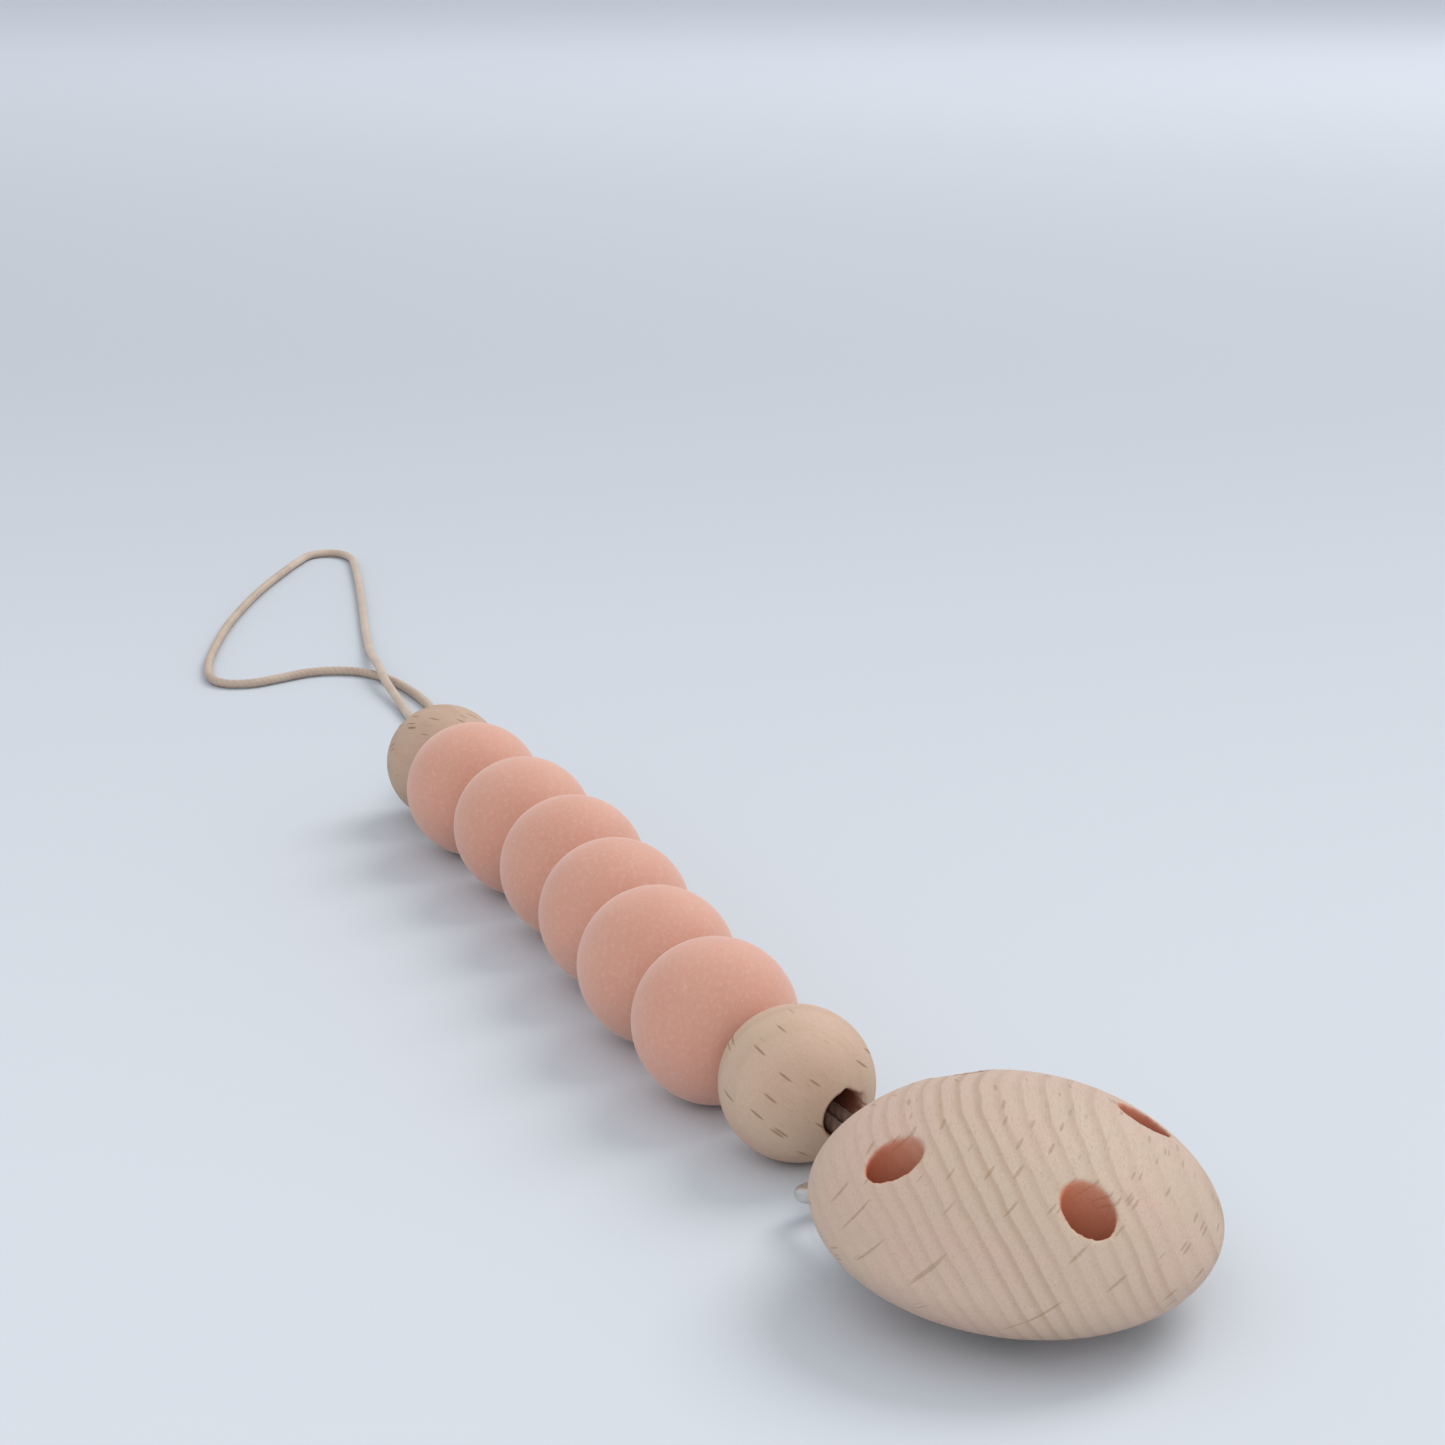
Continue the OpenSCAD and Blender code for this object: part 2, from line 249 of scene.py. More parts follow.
# %% The loop's route
CORD = 1.2 * MM
loop_route = [
    (75, 2.9, 6.05), (79, 2, 5.5), (84, 0.5, 4.1), (90, -1.6, 2.3), (96, -3.6, 1),
    (103, -5.4, 0.65), (112, -6.6, 0.65), (121, -6.9, 0.65), (130, -6, 0.65), (136, -3.5, 0.65),
    (138.4, -0.1, 0.65), (138.6, 3.7, 0.65), (137.2, 7.7, 0.65), (136, 11.7, 0.65),
    (137.2, 15.1, 0.65), (141, 16.3, 0.65), (149, 14.8, 0.65), (159, 11.5, 0.65), (169, 7.7, 0.65),
    (180, 2.8, 0.65), (191, -2.7, 0.65), (200, -7.8, 0.65), (207.6, -12.4, 0.65),
    (212, -15.8, 0.65), (211.9, -19.5, 0.65), (207.4, -21, 0.65), (197.5, -19.2, 0.65),
    (185, -16.4, 0.65), (172, -13.3, 0.65), (160, -10.4, 0.65), (149.5, -8, 0.8), (141, -6.3, 1.4),
    (134, -5.1, 1.95), (127, -4.2, 1.5), (117, -3.5, 0.8), (107, -2.5, 0.65), (98, -1, 0.95),
    (92, 0.2, 2), (86, 1.6, 3.7), (80.5, 2.9, 5.3), (75.2, 4.1, 6.05),
]
loop_line = through(loop_route, 0.22)
loop_length = line_length(loop_line)
waxed_loop = laid_cord("waxed_loop", loop_line, CORD)
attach(waxed_loop, "string_8")
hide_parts("cord_loop")
loop_line[::4] + [loop_line[-1]]
print("loop length", round(loop_length / MM), "mm")
report(waxed_loop)

# %% [markdown]
# ## The hitch on the bail
#
# Both strands of the cord end at the clip: they come out of the wooden ball's bore, pass over the
# bail's bar, go round it and out again under the band that they make, which is a lark's head. The
# band and the two turns are one smooth route round the bar, so the knot is real cord and not a
# lump.

# %% Strands from the ball round the bail's bar
clip_turn = math.radians(6.5)
wrap_radius = 1.6
strand_gap = 0.62
at_bar = Matrix.Translation(bail_bar) @ Matrix.Rotation(clip_turn, 4, "Z") @ Matrix.Scale(MM, 4)
from_world = at_bar.inverted()


def round_bar(side, degrees, radius=wrap_radius, out=1.0):
    """A point on a turn round the bar in the bar's own mm: 0 is towards the balls, 90 is on top."""
    turn = math.radians(degrees)
    return Vector((radius * math.cos(turn), side * strand_gap * out, radius * math.sin(turn)))


def strand(side):
    """One strand, from the knot in the ball, over the bar and down behind it.

    Inside the ball both strands lie low on the bore's wall, one of them a little further round.
    """
    y, z = {1: (0.3, -1.26), -1: (-0.9, -0.9)}[side]
    in_ball = (-1.8, side * strand_gap, -0.6), (-4.6, y, z), (-6.7, y, z - 0.1)
    knot, mouth, lip = (from_world @ (near_place @ (Vector(point) * MM)) for point in in_ball)
    return [
        knot, mouth, lip, Vector((1.7, side * strand_gap, 1.9)), round_bar(side, 92),
        round_bar(side, 135, 1.57), round_bar(side, 180, 1.57), round_bar(side, 235, out=1.08),
    ]


# The band crosses over both strands on the side of the balls and ties the two turns together.
band = [round_bar(1, 288, 1.62, 1.2), round_bar(1, 335, 1.85, 1.6), round_bar(1, 12, 2.05, 1.9)]
band += [round_bar(1, 38, 2.55, 1.15), round_bar(0, 44, 2.75)]
band += [Vector((p.x, -p.y, p.z)) for p in band[3::-1]]
hitch_route = [at_bar @ p / MM for p in strand(1) + band + strand(-1)[::-1]]
lark_hitch = laid_cord("lark_hitch", through(hitch_route, 0.15), CORD)
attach(lark_hitch, "string_1")
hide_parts("cord_hitch", "cord_in_near_ball")
report(lark_hitch)

# %% [markdown]
# ## Balls turned about their bores
#
# Every ball is a solid of revolution about its bore, so it is made as on a lathe: half a circle is
# cut off at the bore's radius, its two ends are joined by the bore's wall, the corners are rounded,
# and the outline is spun once round. A ready-made sphere would need its poles cut out and would
# leave them badly shaded.


# %% One ball on the lathe
def turned_ball(name, diameter, bore, easing, outline=112, steps=96):
    """A ball at the origin with its bore along X.

    The circle is turned by half a side, so that none of its points lies on the bore's axis.
    """
    bpy.ops.object.select_all(action="DESELECT")
    bpy.ops.mesh.primitive_circle_add(
        vertices=outline, radius=diameter / 2, rotation=(math.pi / 2, math.pi / outline, 0)
    )
    ball = bpy.context.object
    ball.name = name
    bpy.ops.object.transform_apply(location=True, rotation=True, scale=True)
    with editing(ball):
        bpy.ops.mesh.select_all(action="SELECT")
        bpy.ops.mesh.bisect(
            plane_co=(0, 0, bore / 2), plane_no=(0, 0, 1), clear_inner=True, use_fill=False
        )
        mesh = bmesh.from_edit_mesh(ball.data)
        choose(mesh, "verts", lambda v: len(v.link_edges) == 1)
        bpy.ops.mesh.edge_face_add()
        bpy.ops.mesh.bevel(offset=easing, segments=5, affect="VERTICES")
        mesh = bmesh.from_edit_mesh(ball.data)
        choose(mesh, "edges", lambda e: e.calc_length() > diameter / 2)
        bpy.ops.mesh.subdivide(number_cuts=12)
        bpy.ops.mesh.select_all(action="SELECT")
        bpy.ops.mesh.spin(steps=steps, angle=math.tau, center=(0, 0, 0), axis=(1, 0, 0))
    close_seams(ball)
    smooth(ball, 60)
    return ball


def copy_of(piece, name, place):
    """A copy with a mesh of its own, set down at a place."""
    twin = piece.copy()
    twin.data = piece.data.copy()
    twin.name = name
    bpy.context.scene.collection.objects.link(twin)
    twin.data.transform(place)
    return twin


silicone_size = 14.75 * MM
silicone_bore = 3 * MM
wood_size = 13.2 * MM
wood_bore = 4 * MM
silicone_pattern = turned_ball("silicone_pattern", silicone_size, silicone_bore, 0.45 * MM)
wood_pattern = turned_ball("wood_pattern", wood_size, wood_bore, 0.35 * MM)
report(silicone_pattern)

# %% [markdown]
# ## The mould's parting line
#
# A silicone ball is pressed in a mould of two halves, and where they close a faint line stays round
# the ball, square to the bore. It is pulled out of the surface by a few hundredths of a millimetre:
# too little to see from afar, but it catches the light close by.

# %% A parting line, then six balls
with editing(silicone_pattern) as mesh:
    ring = choose(mesh, "verts", lambda v: abs(v.co.x) < 0.1 * MM and v.co.yz.length > 5 * MM)
    bpy.ops.transform.resize(value=(1, 1.004, 1.004))
print("points on the parting line:", ring)

peach_balls = []
for number, place in enumerate(silicone_places, start=1):
    ball = copy_of(silicone_pattern, f"peach_ball_{number}", place)
    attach(ball, f"ball_{number}")
    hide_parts(f"silicone_ball_{number}")
    peach_balls.append(ball)
bpy.data.objects.remove(silicone_pattern)
print("silicone balls:", len(peach_balls))

# %% [markdown]
# ## Wooden balls with torn mouths
#
# A drill leaves a beech ball's bore a little ragged, because the fibres tear where it breaks
# through. Spots on the rim are pushed in with a soft falloff, each by a different amount, so that
# the mouth isn't a perfect circle. The two balls get different spots.


# %% Chipped mouths
def chip_mouth(ball, side, chips):
    """Pushes in spots on a mouth: a chip is an angle round the bore, a depth and a reach in mm."""
    mouth_x = side * math.sqrt(wood_size**2 - wood_bore**2) / 2
    rim = wood_bore / 2 + 0.2 * MM
    for degrees, depth, reach in chips:
        turn = math.radians(degrees)
        spot = Vector((mouth_x, rim * math.cos(turn), rim * math.sin(turn)))
        outward = Vector((-side * 0.4, math.cos(turn), math.sin(turn))).normalized()
        with editing(ball) as mesh:
            choose(mesh, "verts", lambda v: (v.co - spot).length < 0.35 * MM)
            bpy.ops.transform.translate(
                value=outward * depth * MM, use_proportional_edit=True,
                proportional_edit_falloff="SMOOTH", proportional_size=reach * MM,
                use_proportional_connected=True,
            )


torn_mouth = [
    (95, 0.22, 0.5), (150, 0.34, 0.45), (172, 0.2, 0.35), (200, 0.3, 0.5), (250, 0.2, 0.6),
]
near_beech_ball = copy_of(wood_pattern, "near_beech_ball", Matrix())
chip_mouth(near_beech_ball, -1, torn_mouth)
chip_mouth(near_beech_ball, 1, [(20, 0.15, 0.5), (210, 0.25, 0.5)])
near_beech_ball.data.transform(near_place)
far_beech_ball = copy_of(wood_pattern, "far_beech_ball", Matrix())
chip_mouth(far_beech_ball, 1, [(60, 0.2, 0.5), (140, 0.26, 0.45), (300, 0.2, 0.6)])
far_beech_ball.data.transform(far_place)
bpy.data.objects.remove(wood_pattern)
for ball, body, node in (
    (near_beech_ball, "near_ball", "near_wood_ball"), (far_beech_ball, "far_ball", "far_wood_ball")
):
    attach(ball, body)
    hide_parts(node)
    report(ball)

# %% [markdown]
# ## The cap
#
# The clip's cap is a lens of beech, turned to a pointed dome above its rim and a fuller belly
# below, with a flat seat for the steel. The outline starts as a circle whose points are moved on to
# the two curves, and is spun round. The next cell drills and sands it.

# %% The cap's outline on the lathe
lean = math.radians(6.9)
cap_radius = 15.6 * MM
cap_dome = 8.2 * MM
cap_belly = 4.85 * MM
dome_power = 1.5
seat_radius = 7.8 * MM
cap_middle = Vector((-61.6 * MM, 0, 7.5 * MM))
cap_place = Matrix.Translation(cap_middle) @ Euler((0, -lean, clip_turn)).to_matrix().to_4x4()

bpy.ops.object.select_all(action="DESELECT")
bpy.ops.mesh.primitive_circle_add(vertices=144, radius=cap_radius, rotation=(math.pi / 2, 0, 0))
beech_cap = bpy.context.object
beech_cap.name = "beech_cap"
bpy.ops.object.transform_apply(location=True, rotation=True, scale=True)
with editing(beech_cap):
    bpy.ops.mesh.select_all(action="SELECT")
    bpy.ops.mesh.bisect(plane_co=(0, 0, 0), plane_no=(1, 0, 0), clear_inner=True, use_fill=False)
    mesh = bmesh.from_edit_mesh(beech_cap.data)
    for point in mesh.verts:
        across = max(0.0, min(1.0, point.co.x / cap_radius))
        level = point.co.z / cap_radius
        if level >= 0:
            point.co.z = cap_dome * (1 - across**2) ** (1 / dome_power)
        else:
            point.co.x = seat_radius + (cap_radius - seat_radius) * across
            point.co.z = cap_belly * level
    bpy.ops.mesh.select_all(action="SELECT")
    bpy.ops.mesh.spin(steps=180, angle=math.tau, center=(0, 0, 0), axis=(0, 0, 1))
close_seams(beech_cap)
with editing(beech_cap, "EDGE"):
    bpy.ops.mesh.select_non_manifold()
    bpy.ops.mesh.edge_face_add()
close_seams(beech_cap)
report(beech_cap)

# %% [markdown]
# ## Drilling, milling and sanding
#
# Each vent hole is cut by subtracting a long cylinder, and the steel's pocket by subtracting
# blocks: the plate's own pocket, a wider one behind it for the bail, and a shallow channel in front
# where the cloth goes in. The cut edges are sharp and made of slivers, so the cap is rebuilt with a
# voxel remesh a fifth of a millimetre fine. A few rounds of smoothing then take the edges off and
# leave the big curves alone.


# %% Four vent holes, the pocket and a sanded surface
def cut_away(piece, cutter):
    """Subtracts a cutter from a piece and throws the cutter away."""
    finish_with(piece, "BOOLEAN", object=cutter, operation="DIFFERENCE", solver="EXACT")
    bpy.data.objects.remove(cutter)


def block(low, high):
    """A block between two corners in mm."""
    middle = [(a + b) / 2 * MM for a, b in zip(low, high)]
    size = [(b - a) * MM for a, b in zip(low, high)]
    bpy.ops.object.select_all(action="DESELECT")
    bpy.ops.mesh.primitive_cube_add(size=1, location=middle, scale=size)
    return bpy.context.object


vent_circle = 10.4 * MM
vent_radius = 2 * MM
for quarter in range(4):
    turn = quarter * math.pi / 2 - clip_turn
    bpy.ops.object.select_all(action="DESELECT")
    bpy.ops.mesh.primitive_cylinder_add(
        vertices=96, radius=vent_radius, depth=40 * MM,
        location=(vent_circle * math.cos(turn), vent_circle * math.sin(turn), 0),
    )
    cut_away(beech_cap, bpy.context.object)
plate_pocket = block((-8.1, -6.9, -9), (31, 6.9, -2.45))
bail_pocket = block((9.55, -9.4, -9), (31, 9.4, -2.45))
cloth_channel = block((-31, -6, -9), (0, 6, -3.35))
for cutter in (plate_pocket, bail_pocket, cloth_channel):
    cut_away(beech_cap, cutter)
finish_with(beech_cap, "REMESH", mode="VOXEL", voxel_size=0.2 * MM, adaptivity=0.0)
finish_with(beech_cap, "SMOOTH", factor=0.5, iterations=9)
beech_cap.data.transform(cap_place)
pick(beech_cap)
bpy.ops.object.shade_smooth()
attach(beech_cap, "clip")
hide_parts("wood_cap")
report(beech_cap)

# %% [markdown]
# ## Steel parts with eased edges
#
# The base plate, the lever, the rivet, the pin and the nylon pad have their true shape in the CAD
# model, but its edges are perfectly sharp. A copy of each is joined up, its flat areas are cleaned,
# and a small bevel is run round every edge, as tumbling leaves a stamped part. The bevel gives the
# thin highlights that say metal.


# %% A cleaned copy of a CAD part
def eased_copy(node, name, ease, angle=32):
    """Copies a CAD node's mesh, joins it up and bevels the edges sharper than an angle."""
    source = frame["nodes"][node]
    piece = source.copy()
    piece.data = source.data.copy()
    piece.name = name
    piece.parent = None
    for key in list(piece.keys()):
        del piece[key]
    bpy.context.scene.collection.objects.link(piece)
    with editing(piece):
        bpy.ops.mesh.select_all(action="SELECT")
        bpy.ops.mesh.remove_doubles(threshold=0.001 * MM)
        bpy.ops.mesh.dissolve_limited(angle_limit=math.radians(0.6))
    finish_with(
        piece, "BEVEL", width=ease, segments=2, limit_method="ANGLE",
        angle_limit=math.radians(angle), miter_outer="MITER_ARC",
    )
    smooth(piece, 35)
    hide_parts(node)
    report(piece)
    return piece


# %% Plate, lever, rivet, pin and pad
steel_parts = []
for node, name, body, ease in (
    ("base_plate", "stamped_plate", "clip", 0.1),
    ("cap_rivet", "dome_rivet", "clip", 0.08),
    ("hinge_pin", "headed_pin", "clip", 0.12),
    ("lever", "cam_lever", "lever", 0.12),
):
    piece = eased_copy(node, name, ease * MM)
    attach(piece, body)
    steel_parts.append(piece)
nylon_pad = eased_copy("gripper_pad", "nylon_pad", 0.06 * MM)
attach(nylon_pad, "lever")

# %% [markdown]
# ## The bail
#
# The bail is a length of wire bent into a rectangle. Its two ends meet in the middle of the hinge
# bar, where the plate's curl hides them. It is drawn as one line with rounded corners and given a
# round bevel, which keeps the wire the same thickness all the way.


# %% Wire bent round a rectangle
def bent_wire(name, corners, radius, corner_radius):
    """A wire that starts and ends in the middle of its first side."""
    data = bpy.data.curves.new(name, "CURVE")
    data.dimensions = "3D"
    line = []
    start = (corners[0] + corners[-1]) / 2
    seam = (corners[0] - corners[-1]).normalized() * 0.1 * MM
    line.append(start + seam)
    for i, corner in enumerate(corners):
        before = corners[i - 1]
        after = corners[(i + 1) % len(corners)]
        into, out = (before - corner).normalized(), (after - corner).normalized()
        centre = corner + (into + out) * corner_radius
        for k in range(9):
            turn = k / 8 * math.pi / 2
            arc = out * math.cos(turn) + into * math.sin(turn)
            line.append(centre - arc * corner_radius)
    line.append(start - seam)
    spline = data.splines.new("POLY")
    spline.points.add(len(line) - 1)
    for point, place in zip(spline.points, line):
        point.co = (*place, 1)
    data.bevel_depth = radius
    data.bevel_resolution = 8
    data.use_fill_caps = True
    wire = bpy.data.objects.new(name, data)
    bpy.context.scene.collection.objects.link(wire)
    pick(wire)
    bpy.ops.object.convert(target="MESH")
    close_seams(wire)
    smooth(wire, 50)
    return wire


wire_radius = 0.7 * MM
bend_radius = 2 * MM
half_width = 8.2 * MM
sideways = Vector((-math.sin(clip_turn), math.cos(clip_turn), 0)) * half_width
bail_corners = [
    bail_hinge + sideways, bail_bar + sideways, bail_bar - sideways, bail_hinge - sideways
]
wire_bail = bent_wire("wire_bail", bail_corners, wire_radius, bend_radius)
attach(wire_bail, "bail")
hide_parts("bail")
report(wire_bail)

# %% [markdown]
# ## Writing shaders as sums
#
# A shader is a graph of nodes, but its maths is easier to read as a sum. This small class holds one
# socket, and adding, subtracting or multiplying two of them makes the Math node. Every other node
# comes from one method that takes its type, its settings and what goes into its sockets.


# %% Sockets that add up
class Link:
    """An output socket that can be used in sums."""

    def __init__(self, finish, socket):
        self.finish, self.socket = finish, socket

    def sum(self, operation, first, second):
        """Makes one Math node."""
        return self.finish.node("ShaderNodeMath", {"operation": operation}, {0: first, 1: second})

    def __add__(self, other):
        return self.sum("ADD", self, other)

    __radd__ = __add__

    def __sub__(self, other):
        return self.sum("SUBTRACT", self, other)

    def __rsub__(self, other):
        return self.sum("SUBTRACT", other, self)

    def __mul__(self, other):
        return self.sum("MULTIPLY", self, other)

    __rmul__ = __mul__


class Finish:
    """A material and the tools to build its nodes."""

    def __init__(self, name):
        self.material = bpy.data.materials.new(name)
        self.material.use_nodes = True
        self.tree = self.material.node_tree
        self.shader = self.tree.nodes["Principled BSDF"]

    def node(self, kind, settings=None, inputs=None, output=0):
        """Makes a node, its settings before its inputs, and returns one of its outputs."""
        made = self.tree.nodes.new(kind)
        for key, value in (settings or {}).items():
            setattr(made, key, value)
        for key, value in (inputs or {}).items():
            self.feed(made.inputs[key], value)
        return Link(self, made.outputs[output])

    def feed(self, socket, value):
        """Links a socket to another one's output, or sets its value."""
        if isinstance(value, Link):
            self.tree.links.new(value.socket, socket)
        else:
            socket.default_value = value

    def shade(self, **sockets):
        """Sets the shader's own sockets; a name's underscores stand for spaces."""
        for key, value in sockets.items():
            self.feed(self.shader.inputs[key.replace("_", " ")], value)

    def place(self, turn=(0, 0, 0), middle=(0, 0, 0)):
        """Object coordinates in millimetres, in a frame that stands at a middle and is turned."""
        where = self.node("ShaderNodeTexCoord", output="Object")
        return self.node(
            "ShaderNodeMapping", {"vector_type": "TEXTURE"},
            {"Vector": where, "Location": tuple(middle), "Rotation": turn, "Scale": (MM, MM, MM)},
        )

    def split(self, vector):
        """A vector's three parts."""
        made = self.node("ShaderNodeSeparateXYZ", {}, {0: vector}).socket.node
        return [Link(self, socket) for socket in made.outputs]

    def join(self, x, y, z):
        """A vector of three values."""
        return self.node("ShaderNodeCombineXYZ", {}, {0: x, 1: y, 2: z})

    def stretched(self, vector, scale):
        """A vector with each part multiplied by its own scale."""
        return self.node("ShaderNodeMapping", {}, {"Vector": vector, "Scale": scale})

    def noise(self, vector, scale, detail=3.0, rough=0.5):
        """Cloudy noise round 0.5, with scale clouds to the millimetre."""
        inputs = {"Vector": vector, "Scale": scale, "Detail": detail, "Roughness": rough}
        return self.node("ShaderNodeTexNoise", {}, inputs, "Fac")

    def band(self, value, low, high):
        """0 below low, 1 above high, and smooth between them."""
        return self.node(
            "ShaderNodeMapRange", {"interpolation_type": "SMOOTHSTEP"},
            {"Value": value, "From Min": low, "From Max": high},
        )

    def mix(self, share, first, second, blend="MIX"):
        """Mixes two colours, which are links or three numbers each."""
        a, b = (c if isinstance(c, Link) else (*c, 1) for c in (first, second))
        return self.node(
            "ShaderNodeMix", {"data_type": "RGBA", "blend_type": blend, "clamp_factor": True},
            {0: share, 6: a, 7: b}, 2,
        )

    def bump(self, height, distance):
        """A normal from a height; distance is in millimetres."""
        return self.node("ShaderNodeBump", {}, {"Height": height, "Distance": distance * MM})


def wear(piece, finish):
    """Gives a piece one finish all over."""
    piece.data.materials.clear()
    piece.data.materials.append(finish.material)


# %% [markdown]
# ## Beech
#
# Beech is pale and pinkish. Each year's growth ends in a thin darker line, and its rays are thin
# ribbons that run straight out from the tree's heart: cut across they are short brown dashes along
# the grain, and cut lengthwise they are fine lines that cross the years. So the pattern is built as
# the tree builds it, from three distances: along the grain, out from the heart, and round the
# heart. Each piece of wood has its own frame, because no two pieces were cut from the same place.
# Drilled walls get a darker, redder colour: partly the end grain, partly painted shade and warm
# bounce light inside the holes.


# %% Beech, cut from its own place in the tree
def beech(
    name, grain, middle, heart, end_grain_and_shade_walls, years, tint, share, rings=1.0, rays=1.0, clear=(0, 1),
    wall=(0.24, 0.07, 0.04),
):
    """Beech with its grain on the X of a turned frame and the heart at (y, z) = heart, in mm.

    There are this many years to the millimetre. rings and rays say how strongly each shows, share
    is the part of the rays that is left out, and the rings come up between the two distances in
    clear. The mask function of the drilled walls says where the colour wall goes: redder end grain
    together with painted shade inside the holes.
    """
    wood = Finish(name)
    place = wood.place(grain, middle)
    wander = wood.noise(place, 0.12, 2.0) - 0.5
    x, y, z = wood.split(place)
    y, z = y - heart[0], z - heart[1]
    out = wood.node("ShaderNodeMath", {"operation": "SQRT"}, {0: y * y + z * z}) + wander * 1.1
    angle = wood.node("ShaderNodeMath", {"operation": "ARCTAN2"}, {0: z, 1: y})
    arc = angle * math.hypot(*heart)

    year = wood.node("ShaderNodeMath", {"operation": "FRACT"}, {0: out * years})
    late = wood.band(year, 0.35, 0.85) * (1 - wood.band(year, 0.87, 1.0))
    strength = wood.noise(wood.join(x * 0.03, out * 0.16, arc * 0.05), 1.0, 1.0)
    strong = wood.band(strength, 0.38, 0.62)
    line = late * (strong * 0.8 + 0.2) * (wood.band(out, *clear) * 0.8 + 0.2) * rings

    fibre = wood.noise(wood.join(x * 0.3, out * 6.0, arc * 6.0), 1.0, 4.0, 0.6)
    pores = wood.noise(wood.join(x * 0.8, out * 11.0, arc * 11.0), 1.0, 2.0)
    pore = wood.band(pores, 0.6, 0.7)
    ribbons = wood.node(
        "ShaderNodeTexVoronoi", {"feature": "F1"},
        {"Vector": wood.join(x * 0.4, out * 0.16, arc * 3.0), "Scale": 1.0, "Randomness": 0.9},
        "Distance",
    )
    draw = wood.split(Link(wood, ribbons.socket.node.outputs["Color"]))[0]
    ray = (1 - wood.band(ribbons, 0.2, 0.33)) * wood.band(draw, share, share + 0.02) * rays

    blotch = wood.noise(place, 0.09, 3.0)
    pale = wood.mix(wood.band(blotch, 0.35, 0.7), (0.66, 0.49, 0.375), (0.70, 0.475, 0.385))
    pale = wood.mix(wood.band(fibre, 0.3, 0.75) * 0.35, pale, (0.56, 0.40, 0.29))
    colour = wood.mix(line * 0.5, pale, (0.42, 0.26, 0.165))
    colour = wood.mix(ray * 0.7, colour, (0.33, 0.185, 0.095))
    colour = wood.mix(pore * 0.16, colour, (0.34, 0.21, 0.13))
    colour = wood.mix(1.0, colour, tint, "MULTIPLY")
    # Drilled walls: redder end grain together with painted shade inside the holes.
    colour = wood.mix(end_grain_and_shade_walls(wood), colour, wall)
    height = fibre * 0.35 - ray * 0.8 - pore * 0.3 - line * 0.08
    wood.shade(
        Base_Color=colour, Roughness=wood.band(fibre, 0.2, 0.9) * 0.16 + 0.52,
        Normal=wood.bump(height, 0.04), Specular_IOR_Level=0.3,
    )
    return wood


def vent_walls(wood):
    """1 inside the vent holes: they stand on two crossing lines, so one quarter stands for all."""
    x, y, _ = wood.split(wood.place((0, -lean, 0), cap_middle))
    x, y = (wood.node("ShaderNodeMath", {"operation": "ABSOLUTE"}, {0: side}) for side in (x, y))
    out = vent_circle / MM
    first = (x - out) * (x - out) + y * y
    second = x * x + (y - out) * (y - out)
    nearest = wood.node("ShaderNodeMath", {"operation": "MINIMUM"}, {0: first, 1: second})
    wall = vent_radius / MM
    return 1 - wood.band(nearest, (wall - 0.1) ** 2, (wall + 0.25) ** 2)


def bore_walls(place):
    """1 on the walls of the bore of the ball that stands at a place."""

    def walls(wood):
        _, y, z = wood.split(wood.place(tuple(place.to_euler()), place.translation))
        wall = wood_bore / 2 / MM
        return 1 - wood.band(y * y + z * z, (wall - 0.05) ** 2, (wall + 0.35) ** 2)

    return walls


# The cap's vent walls are painted a strong red-brown: end grain together with painted shade and warm
# bounce light inside the holes. The balls' bores keep the darker default.
cap_beech = beech(
    "cap_beech", (0, 0, math.radians(-26)), cap_middle, heart=(34, -22), end_grain_and_shade_walls=vent_walls,
    years=0.85, rays=0.6, share=0.68, clear=(32, 44), tint=(0.91, 0.945, 0.955),
    wall=(0.60, 0.19, 0.095),
)
near_beech = beech(
    "near_beech", (0, math.radians(-35), math.radians(60)), near_place.translation, heart=(-30, -6),
    end_grain_and_shade_walls=bore_walls(near_place), years=0.4, rings=0.35, share=0.76, tint=(0.94, 0.92, 0.88),
)
far_beech = beech(
    "far_beech", (0, 0, math.radians(40)), far_place.translation, heart=(24, 30),
    end_grain_and_shade_walls=bore_walls(far_place), years=0.5, rings=0.5, rays=1.2, share=0.6, tint=(0.82, 0.80, 0.76),
)
wear(beech_cap, cap_beech)
wear(near_beech_ball, near_beech)
wear(far_beech_ball, far_beech)
print("beech on the cap and two balls")

# %% [markdown]
# ## Silicone
#
# The soft balls are matt silicone in a peach pink. Silicone lets light in a little way, which warms
# the creases between the balls, so the shader scatters light under the surface. The skin has a
# faint orange-peel from the mould, and it picks up dust, which shows as a paler haze and a few tiny
# specks.

# %% Peach silicone
peach = Finish("peach_silicone")
skin = peach.place()
cloud = peach.noise(skin, 0.12, 3.0)
dust = peach.noise(skin, 2.3, 4.0, 0.65)
grain = peach.noise(skin, 9.0, 2.0)
speck_cells = peach.node(
    "ShaderNodeTexVoronoi", {"feature": "F1"},
    {"Vector": skin, "Scale": 0.75, "Randomness": 1.0}, "Distance",
)
speck = (1 - peach.band(speck_cells, 0.03, 0.07)) * peach.band(cloud, 0.45, 0.6)
hue = peach.mix(peach.band(cloud, 0.3, 0.7), (0.65, 0.325, 0.235), (0.67, 0.345, 0.255))
hue = peach.mix(peach.band(dust, 0.45, 0.8) * 0.28, hue, (0.80, 0.60, 0.54))
hue = peach.mix(speck * 0.5, hue, (0.86, 0.72, 0.66))
peach.shade(
    Base_Color=hue, Roughness=peach.band(dust, 0.3, 0.8) * 0.12 + 0.6,
    Normal=peach.bump(grain * 0.6 + dust * 0.4, 0.012), Subsurface_Weight=0.35,
    Subsurface_Radius=(1.0, 0.45, 0.3), Subsurface_Scale=0.0015, Specular_IOR_Level=0.35,
    Sheen_Weight=0.25, Sheen_Roughness=0.5,
)
for ball in peach_balls:
    wear(ball, peach)
print("silicone on", len(peach_balls), "balls")
